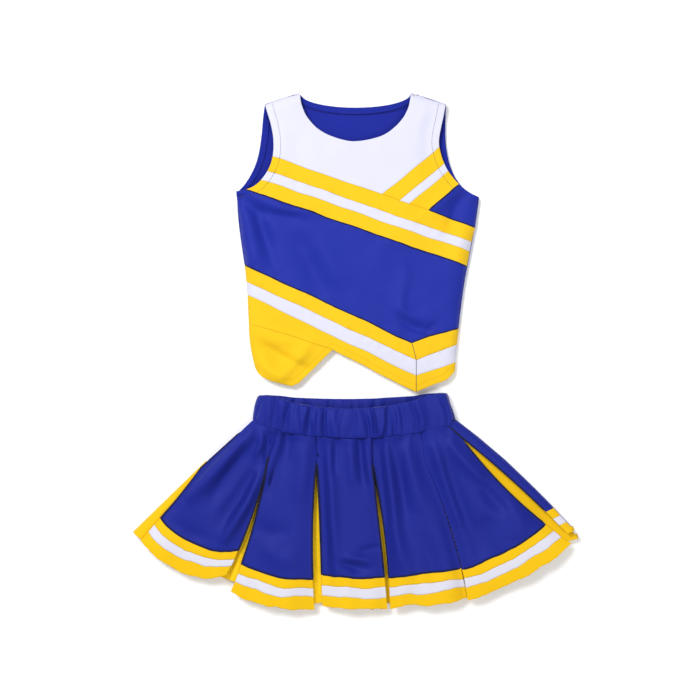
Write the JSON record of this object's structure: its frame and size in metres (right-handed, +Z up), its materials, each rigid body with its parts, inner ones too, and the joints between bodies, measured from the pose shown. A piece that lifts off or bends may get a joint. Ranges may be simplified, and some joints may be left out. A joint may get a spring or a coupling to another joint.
{
  "type": "cheer uniform",
  "caption": "Child's two-piece cheer uniform laid flat: sleeveless shell top with slanted gold and white stripes and a notched hem, above a short box-pleated skirt with an elastic waist",
  "frame": {"origin": "centre of the whole footprint of both garments, on the surface they lie on", "axes": "+Z up off the surface, +Y from the skirt's hem towards the top's neck, +X to the right of someone looking down at the front"},
  "size_m": [0.6244, 0.7232, 0.026],
  "materials": {
    "white_knit": "matte polyester knit, white with a cool cast",
    "royal_knit": "matte polyester knit, royal blue",
    "gold_knit": "matte polyester knit, golden yellow",
    "facing": "turned knit facing",
    "elastic": "woven elastic"
  },
  "bodies": {
    "top": {"armhole_facing_left": "facing", "armhole_facing_right": "facing", "back_band_bottom_stripe": "gold_knit", "back_band_top_stripe": "gold_knit", "back_band_white_stripe": "white_knit", "back_body_panel": "royal_knit", "back_hem_flap": "gold_knit", "back_neck_facing": "facing", "branch_bottom_stripe": "gold_knit", "branch_top_stripe": "gold_knit", "branch_white_stripe": "white_knit", "front_body_panel": "royal_knit", "front_hem_flap": "gold_knit", "front_neck_facing": "facing", "front_underarm_panel": "royal_knit", "front_yoke": "white_knit", "lower_band_bottom_stripe": "gold_knit", "lower_band_top_stripe": "gold_knit", "lower_band_white_stripe": "white_knit", "shoulder_seam_left": "white_knit", "shoulder_seam_right": "white_knit", "side_seam_left": "royal_knit", "side_seam_right": "royal_knit", "upper_band_bottom_stripe": "gold_knit", "upper_band_top_stripe": "gold_knit", "upper_band_white_stripe": "white_knit"},
    "skirt": {"back_hem_bottom": "gold_knit", "back_hem_top": "gold_knit", "back_hem_white": "white_knit", "pleat_insert_0": "gold_knit", "pleat_insert_1": "gold_knit", "pleat_insert_2": "gold_knit", "pleat_insert_3": "gold_knit", "pleat_insert_4": "gold_knit", "pleat_insert_5": "gold_knit", "skirt_back_inserts": "gold_knit", "skirt_back_panels": "royal_knit", "skirt_side_panel": "royal_knit", "waist_elastic": "elastic", "waistband_casing": "royal_knit"},
    "pleat_1": {"hem_bottom_stripe_1": "gold_knit", "hem_top_stripe_1": "gold_knit", "hem_white_stripe_1": "white_knit", "pleat_panel_1": "royal_knit"},
    "pleat_2": {"hem_bottom_stripe_2": "gold_knit", "hem_top_stripe_2": "gold_knit", "hem_white_stripe_2": "white_knit", "pleat_panel_2": "royal_knit"},
    "pleat_3": {"hem_bottom_stripe_3": "gold_knit", "hem_top_stripe_3": "gold_knit", "hem_white_stripe_3": "white_knit", "pleat_panel_3": "royal_knit"},
    "pleat_4": {"hem_bottom_stripe_4": "gold_knit", "hem_top_stripe_4": "gold_knit", "hem_white_stripe_4": "white_knit", "pleat_panel_4": "royal_knit"},
    "pleat_5": {"hem_bottom_stripe_5": "gold_knit", "hem_top_stripe_5": "gold_knit", "hem_white_stripe_5": "white_knit", "pleat_panel_5": "royal_knit"}
  },
  "joints": [
    {"name": "skirt_slide", "type": "slide", "parent": "top", "child": "skirt", "axis": [0, -1, 0], "range_m": [0, 0.15]},
    {"name": "pleat_1_flare", "type": "hinge", "parent": "skirt", "child": "pleat_1", "pos_m": [-0.1911, -0.0959, 0.026], "axis": [-1, 0, 0], "range_deg": [0, 20]},
    {"name": "pleat_2_flare", "type": "hinge", "parent": "skirt", "child": "pleat_2", "pos_m": [-0.1071, -0.1111, 0.026], "axis": [-1, 0, 0], "range_deg": [0, 20]},
    {"name": "pleat_3_flare", "type": "hinge", "parent": "skirt", "child": "pleat_3", "pos_m": [-0.0071, -0.1199, 0.026], "axis": [-1, 0, 0], "range_deg": [0, 20]},
    {"name": "pleat_4_flare", "type": "hinge", "parent": "skirt", "child": "pleat_4", "pos_m": [0.0842, -0.1126, 0.026], "axis": [-1, 0, 0], "range_deg": [0, 20]},
    {"name": "pleat_5_flare", "type": "hinge", "parent": "skirt", "child": "pleat_5", "pos_m": [0.1784, -0.1027, 0.026], "axis": [-1, 0, 0], "range_deg": [0, 20]}
  ]
}
